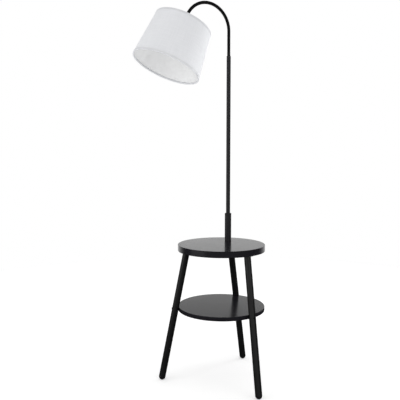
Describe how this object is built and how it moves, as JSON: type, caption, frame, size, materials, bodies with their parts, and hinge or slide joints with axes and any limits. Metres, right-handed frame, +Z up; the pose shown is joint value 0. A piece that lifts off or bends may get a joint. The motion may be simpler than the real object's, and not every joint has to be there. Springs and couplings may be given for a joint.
{
  "type": "floor lamp with table",
  "caption": "Floor lamp with a round table, a lower shelf, splayed legs, a slim pole, a flexible neck and a tapered fabric shade.",
  "frame": {"origin": "on the floor, on the common axis of the table top and the shelf", "axes": "+Z up, +Y from the boards' axis through the pole to the rear leg's top, +X to the right as seen from the side opposite the pole"},
  "size_m": [0.5255, 0.4945, 1.5189],
  "materials": {
    "black_board": "black satin paint on board",
    "black_wood": "black satin paint on turned wood",
    "black_tip": "satin black plastic",
    "black_tube": "satin black powder coat on steel tube",
    "black_neck": "black coated spring steel",
    "zinc_steel": "zinc plated",
    "black_steel": "blackened steel",
    "brass": "plain",
    "holder_white": "white moulded plastic",
    "porcelain": "unglazed",
    "white_fabric": "plain woven, on a clear backing",
    "white_tape": "woven tape",
    "white_wire": "white coated wire",
    "black_gland": "soft plastic"
  },
  "bodies": {
    "stand": {"table_top": "black_board", "lower_shelf": "black_board", "leg_rear": "black_wood", "leg_left": "black_wood", "leg_right": "black_wood", "foot_cap_rear": "black_tip", "foot_cap_left": "black_tip", "foot_cap_right": "black_tip", "leg_plate_rear": "zinc_steel", "leg_plate_left": "zinc_steel", "leg_plate_right": "zinc_steel", "hanger_bolts": "zinc_steel", "leg_plate_screws": "zinc_steel", "shelf_bolts": "black_steel", "shelf_barrel_nuts": "zinc_steel", "pole_sleeve": "black_tube", "sleeve_base_plug": "zinc_steel", "sleeve_top_bush": "black_tube", "table_stem": "zinc_steel", "stem_washer": "zinc_steel", "stem_nut": "zinc_steel", "cable_gland": "black_gland", "pole_lower": "black_tube", "pole_upper": "black_tube", "pole_foot_insert": "brass", "pole_joint_insert": "brass", "pole_upper_insert": "brass", "pole_top_insert": "brass", "pole_joint_stud": "zinc_steel", "neck_bottom_ferrule": "black_neck"},
    "neck_1": {"neck_link_1": "black_neck"},
    "neck_2": {"neck_link_2": "black_neck"},
    "neck_3": {"neck_link_3": "black_neck"},
    "neck_4": {"neck_link_4": "black_neck"},
    "neck_5": {"neck_link_5": "black_neck"},
    "neck_6": {"neck_link_6": "black_neck"},
    "neck_7": {"neck_link_7": "black_neck"},
    "neck_8": {"neck_link_8": "black_neck"},
    "neck_9": {"neck_link_9": "black_neck"},
    "lamp_head": {"neck_top_ferrule": "black_neck", "holder_cap": "black_tube", "holder_lock_nut": "zinc_steel", "holder_body": "holder_white", "contact_block": "porcelain", "threaded_shell": "brass", "centre_contact": "brass", "terminal_screws": "zinc_steel", "shade_ring_nut": "holder_white", "shade_top_frame": "white_wire", "shade_bottom_ring": "white_wire", "shade_skin": "white_fabric", "shade_top_hem": "white_tape", "shade_bottom_hem": "white_tape"}
  },
  "joints": [
    {"name": "neck_turn", "type": "hinge", "parent": "stand", "child": "neck_1", "pos_m": [0, 0.102, 1.327], "axis": [0, 0, 1], "range_deg": [-90, 90]},
    {"name": "neck_bend_1", "type": "hinge", "parent": "neck_1", "child": "neck_2", "pos_m": [0, 0.102, 1.369], "axis": [0.7466, -0.6652, 0], "range_deg": [-22, 3]},
    {"name": "neck_bend_2", "type": "hinge", "parent": "neck_2", "child": "neck_3", "pos_m": [0, 0.102, 1.411], "axis": [0.7466, -0.6652, 0], "range_deg": [-22, 3]},
    {"name": "neck_bend_3", "type": "hinge", "parent": "neck_3", "child": "neck_4", "pos_m": [-0.005, 0.09639, 1.44931], "axis": [0.7466, -0.6652, 0], "range_deg": [-22, 3]},
    {"name": "neck_bend_4", "type": "hinge", "parent": "neck_4", "child": "neck_5", "pos_m": [-0.01926, 0.08038, 1.48195], "axis": [0.7466, -0.6652, 0], "range_deg": [-22, 3]},
    {"name": "neck_bend_5", "type": "hinge", "parent": "neck_5", "child": "neck_6", "pos_m": [-0.04066, 0.05636, 1.50406], "axis": [0.7466, -0.6652, 0], "range_deg": [-22, 3]},
    {"name": "neck_bend_6", "type": "hinge", "parent": "neck_6", "child": "neck_7", "pos_m": [-0.06604, 0.02788, 1.51238], "axis": [0.7466, -0.6652, 0], "range_deg": [-22, 3]},
    {"name": "neck_bend_7", "type": "hinge", "parent": "neck_7", "child": "neck_8", "pos_m": [-0.09163, -0.00084, 1.50567], "axis": [0.7466, -0.6652, 0], "range_deg": [-22, 3]},
    {"name": "neck_bend_8", "type": "hinge", "parent": "neck_8", "child": "neck_9", "pos_m": [-0.11363, -0.02554, 1.48492], "axis": [0.7466, -0.6652, 0], "range_deg": [-22, 3]},
    {"name": "neck_bend_9", "type": "hinge", "parent": "neck_9", "child": "lamp_head", "pos_m": [-0.12879, -0.04255, 1.45321], "axis": [0.7466, -0.6652, 0], "range_deg": [-22, 3]}
  ]
}
